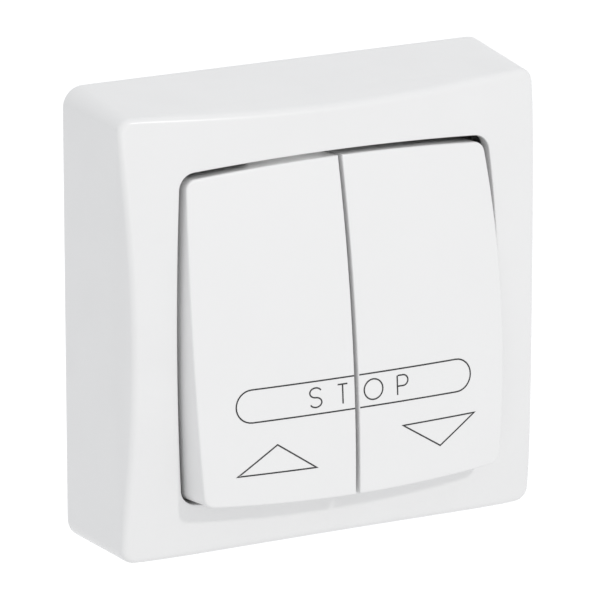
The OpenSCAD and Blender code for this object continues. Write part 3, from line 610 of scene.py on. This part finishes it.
# Drawn wire has a dark sheen, with one bright line along each turn.
spring_steel = metal("spring_steel_drawn", "#8F9396", "#7C7F83", 0.32, 0.15, 0.002)
for side, x in (("up", -CARRIER_X), ("down", CARRIER_X)):
    for kind, joint, coil, y, pocket, keep in SPRINGS:
        spring = make_piece(f"{side}_{kind}_coil", coil_mesh(**coil), spring_steel,
                            STAND_UP @ Matrix.Translation((x, y, 0)))
        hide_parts(f"{side}_{kind}")
        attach(spring, "switch_body")
        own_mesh(spring)

# Contacts and terminals. Reddish rolled bronze moves between bars of yellow
# pressed brass, with fine lines along each strip. The silver tips are pale and
# clean, the ground steel pins shine most, and the zinc plating is a bluish grey.
dress(metal("bronze_rolled", "#C08A52", "#A87645", 0.34, 0.2, 0.003, (12, 1, 1)),
      "up_contact_blade", "down_contact_blade")
dress(metal("silver_contact", "#D9D8D2", "#C9C6BC", 0.3, 0.3, 0.002),
      "up_moving_contact", "down_moving_contact", "fixed_contacts")
dress(metal("brass_pressed", "#D3B062", "#BD9A50", 0.33, 0.2, 0.003),
      "common_terminal", "up_terminal", "down_terminal")
dress(metal("steel_pin_ground", "#B4B6B8", "#A5A7AA", 0.26, 0.1, 0.001), "contact_pins")
dress(metal("zinc_plated_steel", "#C3C7CC", "#B0B4BA", 0.36, 0.25, 0.003),
      "terminal_washers", "terminal_screws", "mechanism_screws")

# Studio. A white floor lies well below the hung switch, so its shadow falls
# out of the picture. The room is white, with a soft lamp low on the left and a
# small one above, which throws the narrow shadow under the rockers.
FLOOR_DROP, FLOOR_R, FLOOR_GLOW = 0.22, 4.0, 0.45
ROOM_COLOUR, ROOM_LIGHT, LAMP_COLOUR = (0.975, 0.984, 1.0, 1), 0.778, (1.0, 0.985, 0.96)


def is_seen(tree):
    """One for the rays that show something: to the camera, in a gloss or through glass."""
    ray = add_node(tree, "ShaderNodeLightPath", {}).outputs
    seen = ray["Is Camera Ray"]
    for other in ("Is Transmission Ray", "Is Glossy Ray"):
        seen = add_node(tree, "ShaderNodeMath", {"operation": "MAXIMUM"},
                        [(0, seen), (1, ray[other])]).outputs["Value"]
    return seen


world = bpy.data.worlds.new("white_room")
bpy.context.scene.world = world
tree = cleared(world)
room = add_node(tree, "ShaderNodeBackground", {"Color": ROOM_COLOUR, "Strength": ROOM_LIGHT})
white = add_node(tree, "ShaderNodeBackground", {"Color": (1, 1, 1, 1), "Strength": 1.0})
mixed = add_node(tree, "ShaderNodeMixShader", {},
                 [(0, is_seen(tree)), (1, room.outputs["Background"]),
                  (2, white.outputs["Background"])])
add_node(tree, "ShaderNodeOutputWorld", {}, [("Surface", mixed.outputs["Shader"])])

# The paper takes the shadow as a dull white, and glows where it is seen, so that
# it runs into the white room without a line.
paper = bpy.data.materials.new("white_paper_floor")
tree = cleared(paper)
diffuse = add_node(tree, "ShaderNodeBsdfDiffuse", {"Color": (0.82, 0.82, 0.82, 1)})
weak = add_node(tree, "ShaderNodeMath", {"operation": "MULTIPLY", 1: FLOOR_GLOW},
                [(0, is_seen(tree))])
glow = add_node(tree, "ShaderNodeEmission", {"Color": (1, 1, 1, 1)},
                [("Strength", weak.outputs["Value"])])
both = add_node(tree, "ShaderNodeAddShader", {},
                [(0, diffuse.outputs["BSDF"]), (1, glow.outputs["Emission"])])
add_node(tree, "ShaderNodeOutputMaterial", {}, [("Surface", both.outputs["Shader"])])

bm = bmesh.new()
bmesh.ops.create_circle(bm, cap_ends=True, segments=64, radius=FLOOR_R)
bmesh.ops.translate(bm, vec=(0, 0, cad_box[0][2] - FLOOR_DROP), verts=bm.verts)
floor_mesh = bpy.data.meshes.new("floor")
bm.to_mesh(floor_mesh)
bm.free()
floor_mesh.materials.append(paper)
floor = bpy.data.objects.new("floor", floor_mesh)
bpy.context.scene.collection.objects.link(floor)


def add_lamp(name, place, target, size, power):
    data = bpy.data.lights.new(name, "AREA")
    data.shape = "SQUARE"
    data.size = size
    data.energy = power
    data.color = LAMP_COLOUR
    lamp = bpy.data.objects.new(name, data)
    lamp.location = place
    lamp.rotation_euler = (Vector(target) - Vector(place)).to_track_quat("-Z", "Y").to_euler()
    bpy.context.scene.collection.objects.link(lamp)


add_lamp("soft_box_left", (-0.6, -1.5, -0.1), (0, 0, 0), 1.0, 2.84)
add_lamp("small_lamp_above", (0.25, -1.4, 0.85), (0, 0, 0), 0.09, 4.6)

bpy.context.scene.view_settings.view_transform = "Standard"
